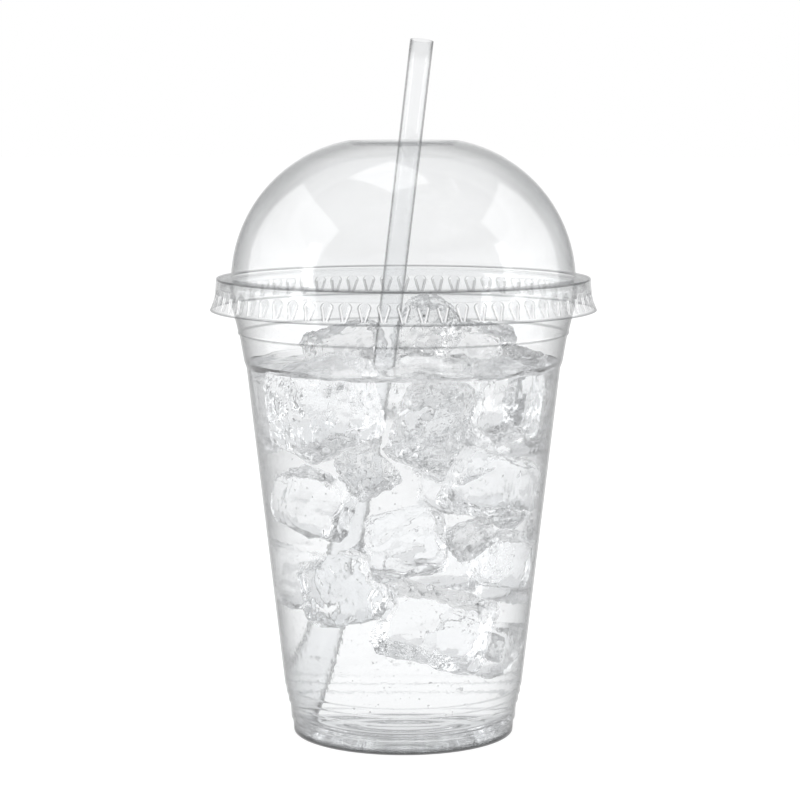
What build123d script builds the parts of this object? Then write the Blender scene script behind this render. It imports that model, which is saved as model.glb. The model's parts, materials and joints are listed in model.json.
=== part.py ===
"""Clear cold-drink cup with a press-fit dome lid and a straight straw, filled with water and ice.

The origin is the middle of the foot ring, on the table, and +Z is up. The cup and the lid are thin
thermoformed shells, so each is one wall-thick strip turned about Z. The straw leans from the back of
the cup's floor to the front edge of the lid's hole. Everything inside takes its place from the cup.
"""

import os
from math import radians, sin, sqrt

from build123d import *

os.makedirs("parts", exist_ok=True)

# Cup, outside sizes in millimetres
cup_height = 120.9
cup_wall = 0.4
rim_radius = 48.4
curl_radius = 1.5
curl_turn = 215
wall_top_radius = 41.5
foot_radius = 29.4
foot_ring_width = 4.0
punt_height = 3.0
punt_slope_width = 3.0
kink_height = 5.9
kink_growth = 0.8
crease_height = 14.7
crease_growth = 2.6
step_below_rim = 22.9
step_rise = 1.6
step_growth = 0.6
ring_below_rim = 13.7
ring_growth = 1.9
collar_below_rim = 4.6
corner_radius = 0.8

# Lid, outside sizes
lid_wall = 0.38
seat_gap = 0.37
skirt_gap = 0.55
brim_width = 3.9
brim_rise = 0.25
brim_roll = 0.9
skirt_drop = 4.05
skirt_growth = 0.3
flare_drop = 6.25
flare_growth = 0.8
lip_drop = 8.45
lip_growth = 1.7
dome_arc_offset = 7.5
dome_centre_drop = 1.7
crown_radius = 14.4
land_drop = 0.9
hole_radius = 13.0
groove_count = 64
groove_width = 2.4
groove_depth = 0.5
groove_centre_drop = 4.3
groove_taper_length = 3.1
groove_tip_radius = 0.45

# Straw
straw_radius = 3.0
straw_wall = 0.25
straw_length = 183.0
straw_gap = 0.3
straw_foot_azimuth = 131.6
straw_foot_inset = 5.3
straw_lean_azimuth = -80.4

# Water, ice and the way the lid lifts off with the straw
water_below_rim = 20.9
liquid_gap = 0.08
straw_liquid_gap = 0.1
ice_gap = 0.5
lid_lift = 30.0

# Each lump of ice: x, y, depth of its middle below the water line, its three lengths, how much its
# top narrows, its three turns in degrees, and the width of its worn corners
ice_lumps = {
    "ice_01": ((-20, -16, 10), (27, 23, 25), 3, (14, -12, 28), 3.5),
    "ice_02": ((7, -25, 14), (19, 15, 26), 4, (-12, 20, -12), 2.5),
    "ice_03": ((24, -16, 8), (19, 19, 21), 3, (10, 8, 40), 2.5),
    "ice_04": ((32, 4, 12), (14, 19, 25), 3, (-8, 10, 12), 2.5),
    "ice_05": ((-9, -27, 25), (15, 12, 16), 3, (8, -24, 18), 2.0),
    "ice_06": ((5, 22, 9), (22, 22, 18), 3, (8, 14, 30), 2.5),
    "ice_07": ((-25, 15, 14), (18, 20, 20), 3, (16, 10, -35), 2.5),
    "ice_08": ((22, -14, 31), (27, 19, 19), 5, (6, 18, -12), 2.5),
    "ice_09": ((-21, -10, 36), (20, 23, 19), 4, (-10, 16, 10), 2.5),
    "ice_10": ((0, -22, 44), (22, 15, 21), 6, (18, -8, 14), 2.5),
    "ice_11": ((14, 17, 32), (24, 21, 22), 4, (-16, 8, 15), 2.5),
    "ice_12": ((31, 4, 37), (12, 16, 24), 3, (4, 6, 8), 2.0),
    "ice_13": ((-15, -17, 58), (21, 19, 21), 3, (-8, -14, 24), 3.5),
    "ice_14": ((7, -15, 68), (32, 18, 24), 12, (-10, 16, 6), 2.5),
    "ice_15": ((22, -4, 52), (17, 17, 17), 4, (-18, 6, 34), 2.5),
    "ice_16": ((3, 20, 55), (22, 19, 20), 3, (10, -12, -16), 2.5),
    "ice_17": ((-23, 8, 57), (14, 17, 18), 3, (12, 12, 20), 2.0),
    "ice_18": ((22, 15, 56), (16, 18, 20), 4, (14, 10, -28), 2.5),
    "ice_19": ((16, -24, 43), (14, 12, 11), 2, (15, -20, 20), 1.5),
    "ice_20": ((22, -15, 74), (7, 6, 9), 1, (20, 20, 10), 1.0),
    "ice_21": ((12, 12, 77), (18, 18, 17), 4, (-12, 18, 22), 2.5),
    "ice_22": ((9, -1, 22), (17, 16, 18), 3, (20, -10, 50), 2.5),
    "ice_23": ((5, 18, -6), (17, 15, 24), 6, (28, 22, 20), 2.5),
    "ice_24": ((-17, 21, -1), (25, 16, 15), 4, (10, -12, 20), 2.5),
    "ice_25": ((20, 20, -1), (20, 17, 15), 4, (-12, 12, 10), 2.5),
    "ice_26": ((31, 4, 1), (14, 15, 10), 3, (8, 12, 20), 2.0),
}

# Heights and radii of the cup that follow from its sizes
step_height = cup_height - step_below_rim
ring_height = cup_height - ring_below_rim
curl_height = cup_height - curl_radius
curl_inside = curl_radius - cup_wall
neck_radius = rim_radius - curl_radius - curl_inside
floor_top = punt_height + cup_wall
water_level = cup_height - water_below_rim

# Heights and radii of the lid, which follow the cup's rim
brim_height = cup_height + seat_gap + lid_wall
skirt_radius = rim_radius + skirt_gap + lid_wall
lip_height = brim_height - lip_drop
dome_base_radius = skirt_radius - brim_width
dome_base_height = brim_height + brim_rise
dome_centre_height = dome_base_height - dome_centre_drop
dome_arc_radius = sqrt((dome_base_radius - dome_arc_offset) ** 2 + dome_centre_drop**2)
crown_rise = sqrt(dome_arc_radius**2 - (crown_radius - dome_arc_offset) ** 2)
crown_height = dome_centre_height + crown_rise
hole_height = crown_height - land_drop

# The straw stands a small gap above the cup's floor and leans a small gap off the lid's hole
lean_reach = hole_radius - straw_radius - straw_gap
lean_point = Vector(lean_reach, 0, hole_height).rotate(Axis.Z, straw_lean_azimuth)
foot_point = Vector(foot_radius - straw_foot_inset, 0, floor_top + straw_gap).rotate(Axis.Z, straw_foot_azimuth)
straw_tilt = radians((lean_point - foot_point).get_angle(Vector(0, 0, 1)))
foot_point += Vector(0, 0, straw_radius * sin(straw_tilt))
straw_way = (lean_point - foot_point).normalized()
straw_plane = Plane(origin=foot_point, x_dir=Vector(0, 0, 1) - straw_way * straw_way.Z, z_dir=straw_way)


def cup_outline():
    """Outside of the cup's wall, from the middle of the floor up to the start of the rim's curl."""
    return FilletPolyline(
        (0, punt_height),
        (foot_radius - foot_ring_width - punt_slope_width, punt_height),
        (foot_radius - foot_ring_width, 0),
        (foot_radius, 0),
        (foot_radius + kink_growth, kink_height),
        (foot_radius + crease_growth, crease_height),
        (wall_top_radius, step_height),
        (wall_top_radius + step_growth, step_height + step_rise),
        (wall_top_radius + ring_growth, ring_height),
        (neck_radius, cup_height - collar_below_rim),
        (neck_radius, curl_height),
        radius=corner_radius,
    )


def lid_outline():
    """Outside of the lid, from the edge of the hole over the dome and the brim to the lip."""
    land = Line((hole_radius, hole_height), (crown_radius, crown_height))
    dome = RadiusArc(land @ 1, (dome_base_radius, dome_base_height), dome_arc_radius)
    FilletPolyline(
        dome @ 1,
        (skirt_radius, brim_height),
        (skirt_radius + skirt_growth, brim_height - skirt_drop),
        (skirt_radius + flare_growth, brim_height - flare_drop),
        (skirt_radius + lip_growth, lip_height),
        radius=brim_roll,
    )


def turned_solid(line):
    """Solid that an outline makes with the Z axis when it is turned."""
    with BuildPart() as turned:
        with BuildSketch(Plane.XZ):
            with BuildLine():
                add(line)
                Polyline(line @ 1, (0, (line @ 1).Y), (0, (line @ 0).Y), line @ 0)
            make_face()
        revolve(axis=Axis.Z)
    return turned.part


def groove_cutter(grown):
    """Ball over a cone, standing just outside the skirt, that sinks one dent into it."""
    radius = (groove_width**2 / 4 + groove_depth**2) / (2 * groove_depth)
    reach = skirt_radius + skirt_growth - groove_depth + radius
    middle = brim_height - groove_centre_drop
    with BuildPart() as cutter:
        with Locations((reach, 0, middle)):
            Sphere(radius + grown)
        with Locations((reach, 0, middle - groove_taper_length / 2)):
            Cone(groove_tip_radius + grown, radius + grown, groove_taper_length)
    return cutter.part


def straw_rod(radius):
    """Solid rod along the straw's axis, as long as the straw."""
    with BuildPart(straw_plane) as rod:
        Cylinder(radius, straw_length, align=(Align.CENTER, Align.CENTER, Align.MIN))
    return rod.part


# Cup: one strip for the floor, the foot ring, the tapered wall and its rolled rim
with BuildPart() as cup:
    with BuildSketch(Plane.XZ):
        with BuildLine():
            wall = cup_outline()
            JernArc(wall @ 1, wall % 1, curl_inside, -curl_turn)
            offset(amount=cup_wall, side=Side.LEFT, closed=True)
        make_face()
    revolve(axis=Axis.Z)

# Lid: outer form less inner form, with the skirt's dents pressed through to lugs on the inside
with BuildLine() as lid_outside:
    lid_outline()
with BuildLine() as lid_inside:
    lid_outline()
    offset(amount=lid_wall, side=Side.RIGHT, closed=False, mode=Mode.REPLACE)
with BuildPart() as lid_cavity:
    add(turned_solid(lid_inside.line))
    with PolarLocations(0, groove_count):
        add(groove_cutter(lid_wall), mode=Mode.SUBTRACT)
with BuildPart() as dome_lid:
    add(turned_solid(lid_outside.line))
    with PolarLocations(0, groove_count):
        add(groove_cutter(0), mode=Mode.SUBTRACT)
    add(lid_cavity.part, mode=Mode.SUBTRACT)
    with Locations((0, 0, crown_height)):
        Cylinder(hole_radius, crown_height - dome_base_height, mode=Mode.SUBTRACT)

# Straw: a plain tube, cut square at both ends
with BuildPart() as straw:
    add(straw_rod(straw_radius))
    add(straw_rod(straw_radius - straw_wall), mode=Mode.SUBTRACT)

# Room inside the cup up to the water line, and the room that the lid and straw lift through
with BuildPart() as cup_room:
    with BuildSketch(Plane.XZ):
        with BuildLine():
            wall = cup_outline()
            Polyline(wall @ 1, (0, curl_height), wall @ 0)
        make_face()
        mirror(about=Plane.YZ)
        offset(amount=-cup_wall - liquid_gap, mode=Mode.REPLACE)
        Rectangle(cup_height, cup_height, align=Align.MIN, mode=Mode.INTERSECT)
    revolve(axis=Axis.Z)
with BuildPart() as straw_room:
    with BuildSketch(straw_plane):
        SlotCenterPoint((lid_lift * sin(straw_tilt) / 2, 0), (0, 0), 2 * (straw_radius + ice_gap))
    extrude(amount=straw_length)

# Ice: worn wedges that jostle at and under the water line, each trimmed to the room that is left for it
ice = {}
for name, (place, lengths, narrowing, turns, corner) in ice_lumps.items():
    x, y, depth = place
    low, (long, wide, tall) = narrowing / 2, lengths
    with BuildPart() as lump:
        with Locations(Location((x, y, water_level - depth), turns)):
            Wedge(long, wide, tall, low, low, long - low, tall - low)
        chamfer(lump.edges(), corner)
        add(cup_room.part, mode=Mode.INTERSECT)
        add(straw_room.part, mode=Mode.SUBTRACT)
        for other in ice.values():
            add(other.part, mode=Mode.SUBTRACT)
    ice[name] = lump

# Water: what is left of the room, round the ice and inside the straw
with BuildPart() as water:
    add(cup_room.part)
    for lump in ice.values():
        add(lump.part, mode=Mode.SUBTRACT)
    add(straw_rod(straw_radius + straw_liquid_gap), mode=Mode.SUBTRACT)
    add(straw_rod(straw_radius - straw_wall - straw_liquid_gap))
    split(bisect_by=Plane.XY.offset(water_level), keep=Keep.BOTTOM)

pieces = {"cup": cup, "dome_lid": dome_lid, "straw": straw, "water": water} | ice
for name, piece in pieces.items():
    piece.part.label = name
    export_step(piece.part, f"parts/{name}.step")
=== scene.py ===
import json
import random
from math import atan2, cos, hypot, radians, sin, sqrt, tau

import bmesh
import bpy
from mathutils import Matrix, Vector, noise


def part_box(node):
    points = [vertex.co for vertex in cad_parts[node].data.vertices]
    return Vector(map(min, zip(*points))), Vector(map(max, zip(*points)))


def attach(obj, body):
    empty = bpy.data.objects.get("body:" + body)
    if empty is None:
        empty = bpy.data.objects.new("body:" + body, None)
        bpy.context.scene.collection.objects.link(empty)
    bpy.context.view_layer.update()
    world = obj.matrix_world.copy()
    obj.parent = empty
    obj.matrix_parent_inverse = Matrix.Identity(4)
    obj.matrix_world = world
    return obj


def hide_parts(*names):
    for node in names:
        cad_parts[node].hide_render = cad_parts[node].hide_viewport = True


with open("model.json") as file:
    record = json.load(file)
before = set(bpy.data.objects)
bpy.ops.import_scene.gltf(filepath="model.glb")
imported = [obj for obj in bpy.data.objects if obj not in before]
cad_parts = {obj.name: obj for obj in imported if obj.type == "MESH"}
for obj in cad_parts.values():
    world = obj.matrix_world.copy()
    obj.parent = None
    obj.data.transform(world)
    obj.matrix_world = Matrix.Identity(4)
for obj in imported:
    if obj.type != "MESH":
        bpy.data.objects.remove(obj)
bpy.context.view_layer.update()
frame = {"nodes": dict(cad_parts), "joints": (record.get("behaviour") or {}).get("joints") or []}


# ---------------------------------------------------------------------------------------------
# Camera, floor and light. A white table and backdrop, a bright room with a darker band overhead
# that clear plastic and ice pick up, and softboxes at both sides and overhead.
# ---------------------------------------------------------------------------------------------

look = bpy.context.scene
look.view_settings.view_transform = "Standard"
look.cycles.use_denoising = True
look.cycles.max_bounces = 32
look.cycles.transmission_bounces = 28
look.cycles.glossy_bounces = 8
look.cycles.transparent_max_bounces = 64
look.cycles.caustics_reflective = False
look.cycles.caustics_refractive = False
look.cycles.sample_clamp_indirect = 6.0

camera_place = (-0.0009, -0.67, 0.17)
camera_tilt = 6.9
camera_data = bpy.data.cameras.new("studio_camera")
camera_data.lens = 114.35
camera_data.clip_start = 0.05
camera = bpy.data.objects.new("studio_camera", camera_data)
look.collection.objects.link(camera)
camera.location = camera_place
camera.rotation_euler = (radians(90 - camera_tilt), 0, 0)
look.camera = camera


def shader_link(material, start, end):
    """Joins two sockets of a node tree."""
    material.node_tree.links.new(start, end)


room = bpy.data.worlds.new("studio_room")
look.world = room
room.use_nodes = True
nodes = room.node_tree.nodes
nodes.clear()
way = nodes.new("ShaderNodeTexCoord")
split = nodes.new("ShaderNodeSeparateXYZ")
band = nodes.new("ShaderNodeValToRGB")
seen = nodes.new("ShaderNodeLightPath")
choose = nodes.new("ShaderNodeMix")
choose.data_type = "RGBA"
choose.inputs["B"].default_value = (1, 1, 1, 1)
sky = nodes.new("ShaderNodeBackground")
out = nodes.new("ShaderNodeOutputWorld")
band.color_ramp.elements[0].position = 0.0
band.color_ramp.elements[0].color = (0.86, 0.86, 0.865, 1)
band.color_ramp.elements[1].position = 1.0
band.color_ramp.elements[1].color = (0.8, 0.8, 0.805, 1)
for height, level in ((0.2, 0.9), (0.32, 0.58), (0.42, 0.26), (0.56, 0.3), (0.7, 0.72)):
    stop = band.color_ramp.elements.new(height)
    stop.color = (level, level * 1.01, level * 1.02, 1)
shader_link(room, way.outputs["Generated"], split.inputs["Vector"])
shader_link(room, split.outputs["Z"], band.inputs["Fac"])
shader_link(room, band.outputs["Color"], choose.inputs["A"])
shader_link(room, seen.outputs["Is Camera Ray"], choose.inputs["Factor"])
shader_link(room, choose.outputs["Result"], sky.inputs["Color"])
shader_link(room, sky.outputs["Background"], out.inputs["Surface"])


def softbox(name, place, aim, width, height, power):
    """Soft area light at a place, turned to a point, that the camera doesn't see."""
    data = bpy.data.lights.new(name, "AREA")
    data.shape = "RECTANGLE"
    data.size, data.size_y = width, height
    data.energy = power
    light = bpy.data.objects.new(name, data)
    look.collection.objects.link(light)
    light.location = place
    light.rotation_euler = (Vector(aim) - Vector(place)).to_track_quat("-Z", "Y").to_euler()
    light.visible_camera = False


softbox("softbox_left", (-0.8, 0.05, 0.46), (0, 0, 0.14), 1.1, 0.84, 4.6)
softbox("softbox_right", (0.8, 0.15, 0.46), (0, 0, 0.14), 0.8, 0.84, 3.4)
softbox("softbox_top", (-0.1, 0.15, 1.25), (0, 0, 0.12), 0.45, 0.6, 1.5)
softbox("strip_left", (-0.55, -0.26, 0.22), (0, 0, 0.14), 0.09, 0.42, 0.4)
softbox("strip_right", (0.6, -0.2, 0.22), (0, 0, 0.14), 0.09, 0.42, 0.35)

floor_paint = bpy.data.materials.new("white_table")
floor_paint.use_nodes = True
nodes = floor_paint.node_tree.nodes
nodes.clear()
glow = nodes.new("ShaderNodeEmission")
eye = nodes.new("ShaderNodeLightPath")
level = nodes.new("ShaderNodeMapRange")
level.inputs["To Min"].default_value = 0.8
level.inputs["To Max"].default_value = 0.86
shader_link(floor_paint, eye.outputs["Is Camera Ray"], level.inputs["Value"])
shader_link(floor_paint, level.outputs["Result"], glow.inputs["Strength"])
matt = nodes.new("ShaderNodeBsdfDiffuse")
matt.inputs["Color"].default_value = (0.3, 0.3, 0.3, 1)
both = nodes.new("ShaderNodeAddShader")
out = nodes.new("ShaderNodeOutputMaterial")
shader_link(floor_paint, glow.outputs["Emission"], both.inputs[0])
shader_link(floor_paint, matt.outputs["BSDF"], both.inputs[1])
shader_link(floor_paint, both.outputs["Shader"], out.inputs["Surface"])
mesh = bpy.data.meshes.new("studio_floor")
bm = bmesh.new()
bmesh.ops.create_grid(bm, x_segments=1, y_segments=1, size=6)
bm.to_mesh(mesh)
bm.free()
studio_floor = bpy.data.objects.new("studio_floor", mesh)
mesh.materials.append(floor_paint)
look.collection.objects.link(studio_floor)


# ---------------------------------------------------------------------------------------------
# Cup. Clear plastic sheet drawn over a mould: a raised floor, a flat foot ring, a tapered wall
# with a crease low down and a step near the top, and a rim rolled outwards.
# ---------------------------------------------------------------------------------------------


def number(material, operation, *values):
    """Adds a Math node fed by numbers or sockets, and gives its result."""
    step = material.node_tree.nodes.new("ShaderNodeMath")
    step.operation = operation
    for socket, value in zip(step.inputs, values):
        if isinstance(value, (int, float)):
            socket.default_value = value
        else:
            shader_link(material, value, socket)
    return step.outputs["Value"]


def distance(material, value, middle):
    """How far a value is from a middle value, on either side."""
    return number(material, "ABSOLUTE", number(material, "SUBTRACT", value, middle))


def ramp(material, value, start, end, low, high):
    """Adds a Map Range node that turns one range of a value into another, and gives its result."""
    step = material.node_tree.nodes.new("ShaderNodeMapRange")
    for socket, amount in (("From Min", start), ("From Max", end), ("To Min", low), ("To Max", high)):
        step.inputs[socket].default_value = amount
    shader_link(material, value, step.inputs["Value"])
    return step.outputs["Result"]


def pattern_group(name, inputs, outputs):
    """Starts a shader node group that turns a place and some numbers into masks and heights."""
    group = bpy.data.node_groups.new(name, "ShaderNodeTree")
    group.interface.new_socket("Place", in_out="INPUT", socket_type="NodeSocketVector")
    for socket in inputs:
        group.interface.new_socket(socket, in_out="INPUT", socket_type="NodeSocketFloat")
    for socket in outputs:
        group.interface.new_socket(socket, in_out="OUTPUT", socket_type="NodeSocketFloat")
    return group, group.nodes.new("NodeGroupInput"), group.nodes.new("NodeGroupOutput")


def add_pattern(material, group, place, **values):
    """Puts a pattern group in a material, reading a place, with its own numbers."""
    pattern = material.node_tree.nodes.new("ShaderNodeGroup")
    pattern.node_tree = group
    shader_link(material, place, pattern.inputs["Place"])
    for socket, value in values.items():
        pattern.inputs[socket].default_value = value
    return pattern


ripples, entry, leave = pattern_group("surface_ripples", ["Scale", "Detail"], ["Height"])
waves = ripples.nodes.new("ShaderNodeTexNoise")
ripples.links.new(entry.outputs["Place"], waves.inputs["Vector"])
ripples.links.new(entry.outputs["Scale"], waves.inputs["Scale"])
ripples.links.new(entry.outputs["Detail"], waves.inputs["Detail"])
ripples.links.new(waves.outputs["Fac"], leave.inputs["Height"])


def polished_clear(name, tint, edge_shade, edge_power, edge_fade, roughness, ripple_scale):
    """Thin clear plastic: see-through and mirror-like at a slant, with painted shade that darkens it
    where it is seen edge on.
    """
    material = bpy.data.materials.new(name)
    material.use_nodes = True
    nodes = material.node_tree.nodes
    nodes.clear()
    place = nodes.new("ShaderNodeTexCoord")
    wavy = add_pattern(material, ripples, place.outputs["Object"], Scale=ripple_scale, Detail=2)
    relief = nodes.new("ShaderNodeBump")
    relief.inputs["Strength"].default_value = 0.06
    relief.inputs["Distance"].default_value = 0.001
    slant = nodes.new("ShaderNodeLayerWeight")
    slant.name = "slant"
    slant.inputs["Blend"].default_value = 0.5
    upright = nodes.new("ShaderNodeSeparateXYZ")
    apart = nodes.new("ShaderNodeSeparateXYZ")
    apart.name = "apart"
    dim = nodes.new("ShaderNodeMix")
    dim.data_type = "RGBA"
    dim.inputs["A"].default_value = (*tint, 1)
    dim.inputs["B"].default_value = (*edge_shade, 1)
    clear = nodes.new("ShaderNodeBsdfTransparent")
    clear.name = "see_through"
    shine = nodes.new("ShaderNodeBsdfAnisotropic")
    shine.inputs["Roughness"].default_value = roughness
    body = nodes.new("ShaderNodeMixShader")
    body.name = "body"
    shadow = nodes.new("ShaderNodeLightPath")
    open_way = nodes.new("ShaderNodeBsdfTransparent")
    open_way.inputs["Color"].default_value = (0.93, 0.93, 0.93, 1)
    last = nodes.new("ShaderNodeMixShader")
    last.name = "last"
    out = nodes.new("ShaderNodeOutputMaterial")
    shader_link(material, wavy.outputs["Height"], relief.inputs["Height"])
    shader_link(material, relief.outputs["Normal"], slant.inputs["Normal"])
    shader_link(material, relief.outputs["Normal"], shine.inputs["Normal"])
    shader_link(material, place.outputs["Normal"], upright.inputs["Vector"])
    shader_link(material, place.outputs["Object"], apart.inputs["Vector"])
    # Painted shade: the see-through colour is darkened towards the edge colour where the sheet is seen
    # edge on, less on flat faces and faded by height.
    flat = number(material, "ABSOLUTE", upright.outputs["Z"])
    edge = number(material, "POWER", slant.outputs["Facing"], edge_power)
    edge = number(material, "MULTIPLY", edge, ramp(material, flat, 0.6, 1.0, 1.0, 0.2))
    edge = number(material, "MULTIPLY", edge, ramp(material, apart.outputs["Z"], *edge_fade))
    shader_link(material, edge, dim.inputs["Factor"])
    shader_link(material, dim.outputs["Result"], clear.inputs["Color"])
    steep = number(material, "POWER", slant.outputs["Facing"], 5)
    shader_link(material, ramp(material, steep, 0.0, 1.0, 0.045, 0.6), body.inputs["Fac"])
    shader_link(material, clear.outputs["BSDF"], body.inputs[1])
    shader_link(material, shine.outputs["BSDF"], body.inputs[2])
    shader_link(material, shadow.outputs["Is Shadow Ray"], last.inputs["Fac"])
    shader_link(material, body.outputs["Shader"], last.inputs[1])
    shader_link(material, open_way.outputs["BSDF"], last.inputs[2])
    shader_link(material, last.outputs["Shader"], out.inputs["Surface"])
    return material


def paint_shade(material, factor, colour):
    """Paints shade into a clear plastic: darkens its see-through colour towards a colour where a mask
    is on.
    """
    shade = material.node_tree.nodes.new("ShaderNodeMix")
    shade.data_type = "RGBA"
    shade.blend_type = "MULTIPLY"
    shade.inputs["B"].default_value = (*colour, 1)
    clear = material.node_tree.nodes["see_through"].inputs["Color"]
    shader_link(material, factor, shade.inputs["Factor"])
    shader_link(material, clear.links[0].from_socket, shade.inputs["A"])
    shader_link(material, shade.outputs["Result"], clear)


def turned_shell(outline, rounding, steps):
    """Rounds the corners of an outline of (radius, height) and spins it about Z."""
    bm = bmesh.new()
    points = [bm.verts.new((radius, 0, height)) for radius, height in outline]
    for start, end in zip(points, points[1:]):
        bm.edges.new((start, end))
    corners = []
    for before, point, after in zip(points, points[1:], points[2:]):
        coming, going = point.co - before.co, after.co - point.co
        if coming.angle(going) > 0.05 and min(coming.length, going.length) > 2.2 * rounding:
            corners.append(point)
    bmesh.ops.bevel(
        bm, geom=corners, offset=rounding, offset_type="OFFSET", affect="VERTICES",
        segments=3, profile=0.5, material=-1,
    )
    bmesh.ops.spin(
        bm, geom=bm.verts[:] + bm.edges[:], cent=(0, 0, 0), axis=(0, 0, 1), angle=tau,
        steps=steps, use_merge=True,
    )
    bmesh.ops.remove_doubles(bm, verts=bm.verts, dist=1e-6)
    bmesh.ops.recalc_face_normals(bm, faces=bm.faces)
    outwards = sum(face.normal.dot(face.calc_center_median()) * face.calc_area() for face in bm.faces)
    if outwards < 0:
        bmesh.ops.reverse_faces(bm, faces=bm.faces)
    return bm


def finished_piece(name, bm, material, wall=0.0):
    """Turns a bmesh into a smooth piece in the scene, with a wall inside it if one is asked for."""
    mesh = bpy.data.meshes.new(name)
    bm.to_mesh(mesh)
    bm.free()
    mesh.shade_smooth()
    mesh.materials.append(material)
    piece = bpy.data.objects.new(name, mesh)
    look.collection.objects.link(piece)
    if wall:
        thick = piece.modifiers.new("wall", "SOLIDIFY")
        thick.thickness = wall
        thick.offset = -1
    return piece


cup_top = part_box("cup")[1].z
cup_wall = 0.0004
rim_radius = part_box("cup")[1].x
curl_radius = 0.0015
neck_radius = rim_radius - 2 * curl_radius + cup_wall
curl_height = cup_top - curl_radius
curl_outline = curl_radius - cup_wall
curl_steps = 12
curl_step_angle = 18
curl_arc = [
    (neck_radius + curl_outline * (1 - cos(turn)), curl_height + curl_outline * sin(turn))
    for turn in (radians(curl_step_angle * step) for step in range(1, curl_steps + 1))
]
foot_radius = 0.0294
taper_start = (0.0320, 0.0147)
taper_end = (0.0415, 0.0980)
bead_height = 0.1070
wall_line = [
    (foot_radius, 0.0), (0.0297, 0.0034), (0.0301, 0.0038), (0.0302, 0.0059), (0.03045, 0.0079),
    (0.03085, 0.0084), (0.0310, 0.0102), (0.0314, 0.0107), (0.0315, 0.0124), (0.0318, 0.0129),
    taper_start, taper_end, (0.0421, 0.0996), (0.0433, bead_height - 0.0003),
    (0.0438, bead_height + 0.0001), (0.0437, bead_height + 0.0008), (neck_radius, cup_top - 0.0046),
]
floor_height = 0.003
ring_rise = 0.0004
ring_width = 0.0004
floor_line = [(0.0, floor_height)]
for ring_radius, before, after in (
    (0.0070, 0, ring_rise), (0.0115, ring_rise, 0), (0.0160, 0, ring_rise), (0.0204, ring_rise, 0),
):
    floor_line.append((ring_radius, floor_height + before))
    floor_line.append((ring_radius + ring_width, floor_height + after))
floor_line += [(0.0224, floor_height), (0.0254, 0.0)]
cup_line = [*floor_line, *wall_line, (neck_radius, curl_height), *curl_arc]
corner_rounding = 0.00018
turning_steps = 240
bm = turned_shell(cup_line, corner_rounding, turning_steps)
cup_fade = (cup_top - 0.009, cup_top - 0.005, 1.0, 0.4)
# The second colour is painted shade for where the cup's sheet is seen edge on.
cup_plastic = polished_clear(
    "cup_plastic", (0.988, 0.99, 0.991), (0.5, 0.503, 0.506), 3.5, cup_fade, 0.03, 60)
height = cup_plastic.node_tree.nodes["apart"].outputs["Z"]
# Painted shadow: a dark line along the bottom of the foot stands in for the contact shadow. Painted
# shade: a fainter dark line runs along the bead.
foot_shadow_line = ramp(cup_plastic, height, 0.0002, 0.0011, 1.0, 0.0)
paint_shade(cup_plastic, foot_shadow_line, (0.35, 0.352, 0.355))
bead_shade_line = ramp(cup_plastic, distance(cup_plastic, height, bead_height), 0.0001, 0.0004, 1.0, 0.0)
paint_shade(cup_plastic, bead_shade_line, (0.8, 0.802, 0.804))
cup_shell = finished_piece("cup_shell", bm, cup_plastic, cup_wall)
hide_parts("cup")
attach(cup_shell, "cup")


# ---------------------------------------------------------------------------------------------
# Dome lid. The same clear sheet, thinner: a dome with a round hole in a sunken land, a flat brim
# that seats on the rim, and a flared skirt with a ring of pressed dents that grip under the rim.
# ---------------------------------------------------------------------------------------------

lid_wall = 0.00038
lip_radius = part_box("dome_lid")[1].x
lid_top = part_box("dome_lid")[1].z
lip_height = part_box("dome_lid")[0].z
skirt_radius = lip_radius - 0.0017
brim_height = lip_height + 0.00845
base_radius = skirt_radius - 0.0039
arc_offset = 0.0075
arc_drop = 0.0017
arc_radius = hypot(base_radius - arc_offset, arc_drop)
arc_height = brim_height + 0.00025 - arc_drop
crown_radius = 0.0144
hole_radius = 0.0130
first_turn = atan2(arc_drop, base_radius - arc_offset)
last_turn = atan2(lid_top - arc_height, crown_radius - arc_offset)
dome_steps = 30
dome_arc = [
    (arc_offset + arc_radius * cos(turn), arc_height + arc_radius * sin(turn))
    for turn in (
        last_turn + (first_turn - last_turn) * step / dome_steps for step in range(dome_steps + 1)
    )
]
dent_seat = skirt_radius + 0.0003
skirt_corners = [
    (skirt_radius, brim_height), (dent_seat, brim_height - 0.00405),
    (skirt_radius + 0.0008, brim_height - 0.00625), (lip_radius, lip_height),
]
run_steps = 6
skirt_line = [skirt_corners[0]]
for start, end in zip(skirt_corners, skirt_corners[1:]):
    for step in range(1, run_steps + 1):
        share = step / run_steps
        skirt_line.append(tuple(near + (far - near) * share for near, far in zip(start, end)))
lid_line = [
    (hole_radius, lid_top - 0.0009), *dome_arc, (skirt_radius - 0.0012, brim_height + 0.00006),
    *skirt_line,
]
dent_count = 64
steps_per_dent = 10
lid_rounding = 0.00022
bm = turned_shell(lid_line, lid_rounding, dent_count * steps_per_dent)

dent_depth = 0.0005
dent_half_width = 0.0012
ball_radius = (dent_half_width**2 + dent_depth**2) / (2 * dent_depth)
ball_reach = dent_seat - dent_depth + ball_radius
ball_height = brim_height - 0.0043
tip_radius = 0.00045
taper = 0.0031
pitch = tau / dent_count
for vert in bm.verts:
    radius = hypot(vert.co.x, vert.co.y)
    above = vert.co.z - ball_height
    if radius < base_radius or above > ball_radius or above < -taper:
        continue
    if above > 0:
        cutter = sqrt(ball_radius**2 - above**2)
    else:
        cutter = ball_radius + (ball_radius - tip_radius) * above / taper
    turn = atan2(vert.co.y, vert.co.x)
    across = radius * (turn - pitch * round(turn / pitch))
    if abs(across) < cutter:
        pressed = min(radius, ball_reach - sqrt(cutter**2 - across**2))
        vert.co.xy *= pressed / radius

lid_fade = (brim_height + 0.0006, brim_height + 0.002, 0.6, 1.0)
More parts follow.
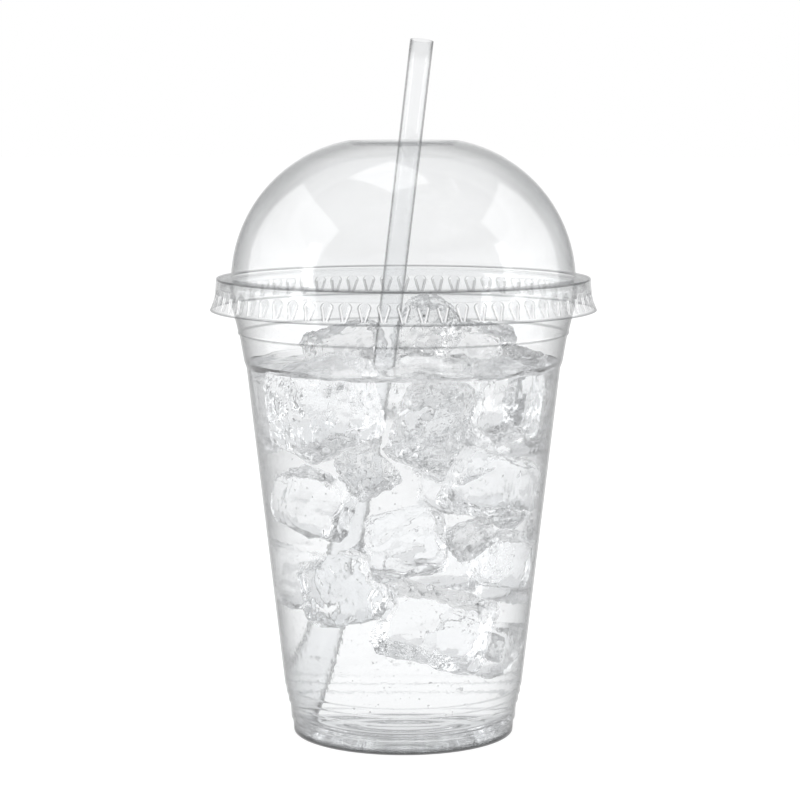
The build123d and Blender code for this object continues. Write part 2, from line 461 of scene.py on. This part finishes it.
# The second colour is painted shade for where the lid's sheet is seen edge on.
lid_plastic = polished_clear(
    "lid_plastic", (0.98, 0.982, 0.983), (0.67, 0.674, 0.678), 3, lid_fade, 0.07, 50)
nodes = lid_plastic.node_tree.nodes
apart = nodes["apart"]

# Where a point lies in its dent: across from the middle, up from the tip, and past the outline.
turn = number(lid_plastic, "ARCTAN2", apart.outputs["Y"], apart.outputs["X"])
turn = number(lid_plastic, "MULTIPLY", turn, dent_count / tau)
share = number(lid_plastic, "PINGPONG", turn, 0.5)
across = number(lid_plastic, "MULTIPLY", share, pitch * skirt_radius)
up = number(lid_plastic, "SUBTRACT", apart.outputs["Z"], ball_height - taper)
side = ramp(lid_plastic, up, 0.0, taper, tip_radius * 0.8, dent_half_width)
arch = number(lid_plastic, "SUBTRACT", up, taper)
dome = number(lid_plastic, "SUBTRACT", dent_half_width**2, number(lid_plastic, "POWER", arch, 2))
dome = number(lid_plastic, "SQRT", number(lid_plastic, "MAXIMUM", dome, 0.0))
high = number(lid_plastic, "GREATER_THAN", arch, 0.0)
upper = number(lid_plastic, "MULTIPLY", high, dome)
lower = number(lid_plastic, "MULTIPLY", number(lid_plastic, "SUBTRACT", 1.0, high), side)
border = number(lid_plastic, "ADD", upper, lower)
beyond = number(lid_plastic, "SUBTRACT", across, border)
over_tip = number(lid_plastic, "GREATER_THAN", up, -0.0002)
under_top = number(lid_plastic, "LESS_THAN", arch, dent_half_width)
on_skirt = number(lid_plastic, "MULTIPLY", over_tip, under_top)

# Painted shade: the pressed hollow, the lip and the outline of each dent are darkened, and the dark
# band along the brim's roll is a painted reflection.
pressed = ramp(lid_plastic, beyond, -0.0002, 0.0, 1.0, 0.0)
paint_shade(lid_plastic, number(lid_plastic, "MULTIPLY", on_skirt, pressed), (0.95, 0.951, 0.953))
roll = distance(lid_plastic, apart.outputs["Z"], brim_height - 0.0003)
paint_shade(lid_plastic, ramp(lid_plastic, roll, 0.0001, 0.00035, 1.0, 0.0), (0.62, 0.623, 0.626))
lip_shade_line = ramp(lid_plastic, apart.outputs["Z"], lip_height + 0.0001, lip_height + 0.0006, 1.0, 0.0)
paint_shade(lid_plastic, lip_shade_line, (0.7, 0.703, 0.706))
outline = ramp(lid_plastic, distance(lid_plastic, beyond, 0.00042), 0.00004, 0.0002, 1.0, 0.0)
paint_shade(lid_plastic, number(lid_plastic, "MULTIPLY", outline, on_skirt), (0.7, 0.702, 0.704))

# A painted highlight: a white diffuse line along the crease of each dent, strongest where the skirt
# faces the viewer.
crease = ramp(lid_plastic, number(lid_plastic, "ABSOLUTE", beyond), 0.00008, 0.00026, 0.9, 0.0)
crease = number(lid_plastic, "MULTIPLY", crease, on_skirt)
below_arch = number(lid_plastic, "LESS_THAN", arch, 0.0002)
crease = number(lid_plastic, "MULTIPLY", crease, below_arch)
facing = ramp(lid_plastic, nodes["slant"].outputs["Facing"], 0.3, 0.75, 1.0, 0.3)
crease = number(lid_plastic, "MULTIPLY", crease, facing)
crease_glint = nodes.new("ShaderNodeBsdfDiffuse")
crease_glint.inputs["Color"].default_value = (1, 1, 1, 1)
glinted = nodes.new("ShaderNodeMixShader")
shader_link(lid_plastic, crease, glinted.inputs["Fac"])
shader_link(lid_plastic, nodes["body"].outputs["Shader"], glinted.inputs[1])
shader_link(lid_plastic, crease_glint.outputs["BSDF"], glinted.inputs[2])
shader_link(lid_plastic, glinted.outputs["Shader"], nodes["last"].inputs[1])
lid_shell = finished_piece("lid_shell", bm, lid_plastic, lid_wall)
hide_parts("dome_lid")
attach(lid_shell, "lid")


# ---------------------------------------------------------------------------------------------
# Straw. Clear extruded tube, cut square, that stands on the cup's floor at the back and leans on
# the front edge of the lid's hole.
# ---------------------------------------------------------------------------------------------

straw_radius = 0.0030
straw_wall = 0.00025
straw_length = 0.183
pull = next(joint for joint in frame["joints"] if joint["name"] == "straw_pull")
straw_axis = Vector(pull["axis"]).normalized()
low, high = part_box("straw")
straw_foot = (low + high) / 2 - straw_axis * straw_length / 2
lean = straw_axis.to_track_quat("Z", "Y").to_matrix().to_4x4()
straw_rings = 24
bm = bmesh.new()
bmesh.ops.create_circle(bm, segments=64, radius=straw_radius)
for ring in range(straw_rings):
    top = max(vert.co.z for vert in bm.verts)
    edges = [edge for edge in bm.edges if min(vert.co.z for vert in edge.verts) > top - 1e-7]
    grown = bmesh.ops.extrude_edge_only(bm, edges=edges)["geom"]
    moved = [item for item in grown if isinstance(item, bmesh.types.BMVert)]
    bmesh.ops.translate(bm, verts=moved, vec=(0, 0, straw_length / straw_rings))
bmesh.ops.recalc_face_normals(bm, faces=bm.faces)
bmesh.ops.transform(bm, verts=bm.verts, matrix=Matrix.Translation(straw_foot) @ lean)
# The second, very dark colour is painted shade along the straw's sides, where it is seen edge on.
straw_plastic = polished_clear(
    "straw_plastic", (0.983, 0.985, 0.987), (0.12, 0.123, 0.126), 3.5, (0, 1, 1, 1), 0.05, 90)
straw_tube = finished_piece("straw_tube", bm, straw_plastic, straw_wall)
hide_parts("straw")
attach(straw_tube, "straw")


# ---------------------------------------------------------------------------------------------
# Water. Plain cold water that fills the cup to the line. It climbs a little up the wall all
# round, its top is broken by small waves, and it has a fine film of beads against the wall.
# ---------------------------------------------------------------------------------------------

water_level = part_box("water")[1].z
water_gap = 0.00006
inner = cup_wall + water_gap
water_line = [(radius, height + inner) for radius, height in floor_line]
water_line += [(foot_radius - inner, inner)]
water_line += [(radius - inner, height) for radius, height in wall_line[1:] if height < 0.099]
water_line += [(0.04167 - inner, water_level - 0.0002), (0.04125 - inner, water_level - 0.0009)]
top_height = water_level - 0.0016
top_radii = (0.0395, 0.038, 0.036, 0.034, 0.031, 0.028, 0.024, 0.02, 0.016, 0.012, 0.008, 0.004, 0.0)
water_line += [(radius, top_height) for radius in top_radii]
bm = turned_shell(water_line, corner_rounding, turning_steps)
for vert in bm.verts:
    below = water_level - vert.co.z
    if below < 0.0022:
        wave = noise.noise(vert.co * 170) + 0.5 * noise.noise(vert.co * 420)
        bearing = Vector((vert.co.x, vert.co.y, 0)).normalized()
        around = noise.noise(bearing * 3.3 + Vector((5, 5, 5)))
        vert.co.z += 0.00035 * wave - 0.0004 if below > 0.0012 else 0.0014 * min(0.0, around)
water_clear = bpy.data.materials.new("water")
water_clear.use_nodes = True
nodes = water_clear.node_tree.nodes
finish = nodes["Principled BSDF"]
finish.inputs["Base Color"].default_value = (0.96, 0.963, 0.966, 1)
finish.inputs["Roughness"].default_value = 0.0
finish.inputs["IOR"].default_value = 1.333
finish.inputs["Transmission Weight"].default_value = 1.0
place = nodes.new("ShaderNodeTexCoord")
apart = nodes.new("ShaderNodeSeparateXYZ")
beads = add_pattern(water_clear, ripples, place.outputs["Object"], Scale=620, Detail=3)
film = nodes.new("ShaderNodeBump")
film.inputs["Strength"].default_value = 0.06
film.inputs["Distance"].default_value = 0.001
shader_link(water_clear, place.outputs["Object"], apart.inputs["Vector"])
above_foot = ramp(water_clear, apart.outputs["Z"], 0.012, 0.016, 0.0, 1.0)
beaded = number(water_clear, "MULTIPLY", beads.outputs["Height"], above_foot)
shader_link(water_clear, beaded, film.inputs["Height"])
shader_link(water_clear, film.outputs["Normal"], finish.inputs["Normal"])
water_body = finished_piece("water_body", bm, water_clear)
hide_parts("water")
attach(water_body, "cup")


# ---------------------------------------------------------------------------------------------
# Air bubbles. One large bubble held under the ice, and very many fine ones, most of them
# clinging to the inside of the wall and some adrift between the lumps.
# ---------------------------------------------------------------------------------------------

bubble_air = bpy.data.materials.new("bubble_air")
bubble_air.use_nodes = True
nodes = bubble_air.node_tree.nodes
finish = nodes["Principled BSDF"]
finish.inputs["Base Color"].default_value = (1, 1, 1, 1)
finish.inputs["Roughness"].default_value = 0.0
finish.inputs["IOR"].default_value = 0.75
finish.inputs["Transmission Weight"].default_value = 1.0
bm = bmesh.new()
bmesh.ops.create_uvsphere(
    bm, u_segments=32, v_segments=20, radius=0.0011,
    matrix=Matrix.Translation((0.0066, -0.0305, 0.0445)),
)
large_bubble = finished_piece("large_bubble", bm, bubble_air)
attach(large_bubble, "cup")

bubble_skin = bpy.data.materials.new("bubble_skin")
bubble_skin.use_nodes = True
nodes = bubble_skin.node_tree.nodes
nodes.clear()
mirror = nodes.new("ShaderNodeBsdfAnisotropic")
mirror.inputs["Color"].default_value = (1, 1, 1, 1)
mirror.inputs["Roughness"].default_value = 0.25
through = nodes.new("ShaderNodeBsdfTransparent")
mixed = nodes.new("ShaderNodeMixShader")
mixed.inputs["Fac"].default_value = 0.55
out = nodes.new("ShaderNodeOutputMaterial")
shader_link(bubble_skin, through.outputs["BSDF"], mixed.inputs[1])
shader_link(bubble_skin, mirror.outputs["BSDF"], mixed.inputs[2])
shader_link(bubble_skin, mixed.outputs["Shader"], out.inputs["Surface"])
chance = random.Random(11)
batch_size = 40
bubble_batches = 40
wall_slope = (taper_end[0] - taper_start[0]) / (taper_end[1] - taper_start[1])
bm = bmesh.new()
for batch_number in range(bubble_batches):
    batch = bmesh.new()
    for count in range(batch_size):
        height = 0.008 + (water_level - 0.012) * chance.random()
        wall_radius = taper_start[0] + (height - taper_start[1]) * wall_slope - inner
        radius = 0.00012 + 0.00026 * chance.random() ** 4
        drift = 0.012 if count % 4 == 0 else 0.0006
        reach = wall_radius - radius - 0.0001 - drift * chance.random()
        turn = tau * chance.random()
        middle = Matrix.Translation((reach * cos(turn), reach * sin(turn), height))
        bmesh.ops.create_icosphere(batch, subdivisions=1, radius=radius, matrix=middle)
    batch_mesh = bpy.data.meshes.new("bubble_batch")
    batch.to_mesh(batch_mesh)
    batch.free()
    bm.from_mesh(batch_mesh)
    bpy.data.meshes.remove(batch_mesh)
air_bubbles = finished_piece("air_bubbles", bm, bubble_skin)
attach(air_bubbles, "cup")


# ---------------------------------------------------------------------------------------------
# Ice. Loose lumps from a machine, worn round by the water, with wavy faces, frosted patches and
# a chopped surface. Some are crushed and cloudier, and four of those heap above the water.
# ---------------------------------------------------------------------------------------------

ice_surface, entry, leave = pattern_group("ice_surface", ["Chop", "Frost"], ["Frosted", "Chips"])
patches = ice_surface.nodes.new("ShaderNodeTexNoise")
patches.inputs["Scale"].default_value = 110
patches.inputs["Detail"].default_value = 4
frosted = ice_surface.nodes.new("ShaderNodeMapRange")
frosted.inputs["From Min"].default_value = 0.55
frosted.inputs["From Max"].default_value = 0.62
chips = ice_surface.nodes.new("ShaderNodeTexNoise")
chips.noise_type = "RIDGED_MULTIFRACTAL"
chips.inputs["Detail"].default_value = 3
chips.inputs["Distortion"].default_value = 0.6
ice_surface.links.new(entry.outputs["Place"], patches.inputs["Vector"])
ice_surface.links.new(entry.outputs["Place"], chips.inputs["Vector"])
ice_surface.links.new(entry.outputs["Chop"], chips.inputs["Scale"])
ice_surface.links.new(entry.outputs["Frost"], frosted.inputs["To Max"])
ice_surface.links.new(patches.outputs["Fac"], frosted.inputs["Value"])
ice_surface.links.new(frosted.outputs["Result"], leave.inputs["Frosted"])
ice_surface.links.new(chips.outputs["Fac"], leave.inputs["Chips"])


def ice_finish(name, shade, ior, frost, chop, chop_scale):
    """Clear ice with frosted patches and a chopped surface."""
    material = bpy.data.materials.new(name)
    material.use_nodes = True
    nodes = material.node_tree.nodes
    body = nodes["Principled BSDF"]
    body.inputs["Base Color"].default_value = (shade, shade * 1.003, shade * 1.006, 1)
    body.inputs["IOR"].default_value = ior
    body.inputs["Transmission Weight"].default_value = 1.0
    place = nodes.new("ShaderNodeTexCoord")
    surface = add_pattern(material, ice_surface, place.outputs["Object"], Chop=chop_scale, Frost=frost)
    bump = nodes.new("ShaderNodeBump")
    bump.inputs["Strength"].default_value = chop
    bump.inputs["Distance"].default_value = 0.001
    shader_link(material, surface.outputs["Frosted"], body.inputs["Roughness"])
    shader_link(material, surface.outputs["Chips"], bump.inputs["Height"])
    shader_link(material, bump.outputs["Normal"], body.inputs["Normal"])
    return material


smooth_ice = ice_finish("smooth_ice", 0.98, 1.15, 0.12, 0.14, 210)
rough_ice = ice_finish("rough_ice", 0.84, 1.3, 0.08, 0.45, 330)
heaped_ice = ice_finish("heaped_ice", 0.86, 1.31, 0.3, 0.25, 260)
rough_names = {"ice_02", "ice_04", "ice_05", "ice_12", "ice_19", "ice_20"}
heaped_names = {"ice_23", "ice_24", "ice_25", "ice_26"}
# How far the surface is pushed, in metres: by broad waves, small waves, ridges and grain, and how
# far all of it is drawn in first so that no lump outgrows its room.
smooth_push = (0.0010, 0.0003, 0.0008, 0.00008, 0.0009)
rough_push = (0.0008, 0.0006, 0.0012, 0.0004, 0.0012)
voxel_size = 0.0007
wear_rounds = 5
ice_names = sorted(name for name in frame["nodes"] if name.startswith("ice_"))
for index, name in enumerate(ice_names):
    if name in heaped_names:
        ice, push = heaped_ice, rough_push
    elif name in rough_names:
        ice, push = rough_ice, rough_push
    else:
        ice, push = smooth_ice, smooth_push
    bm = bmesh.new()
    bm.from_mesh(frame["nodes"][name].data)
    bmesh.ops.remove_doubles(bm, verts=bm.verts, dist=1e-6)
    mesh = bpy.data.meshes.new(name + "_lump")
    bm.to_mesh(mesh)
    bm.free()
    lump = bpy.data.objects.new(name + "_lump", mesh)
    look.collection.objects.link(lump)
    fine = lump.modifiers.new("fine", "REMESH")
    fine.mode = "VOXEL"
    fine.voxel_size = voxel_size
    evaluated = lump.evaluated_get(bpy.context.evaluated_depsgraph_get())
    worn = bpy.data.meshes.new_from_object(evaluated)
    lump.modifiers.clear()
    lump.data = worn
    bm = bmesh.new()
    bm.from_mesh(worn)
    for wear in range(wear_rounds):
        bmesh.ops.smooth_vert(
            bm, verts=bm.verts, factor=0.5, use_axis_x=True, use_axis_y=True, use_axis_z=True)
    bm.normal_update()
    seed = Vector((index * 7.3, index * 1.7, index * 3.1))
    for vert in bm.verts:
        broad = noise.noise(vert.co * 150 + seed)
        small = noise.noise(vert.co * 430 + seed)
        ridge = 0.5 - abs(noise.noise(vert.co * 300 + seed))
        grain = noise.noise(vert.co * 900 + seed)
        shifts = zip(push, (broad, small, ridge, grain, -1))
        vert.co += vert.normal * sum(amount * shape for amount, shape in shifts)
    bmesh.ops.recalc_face_normals(bm, faces=bm.faces)
    bm.to_mesh(worn)
    bm.free()
    worn.shade_smooth()
    worn.materials.clear()
    worn.materials.append(ice)
    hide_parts(name)
    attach(lump, "cup")
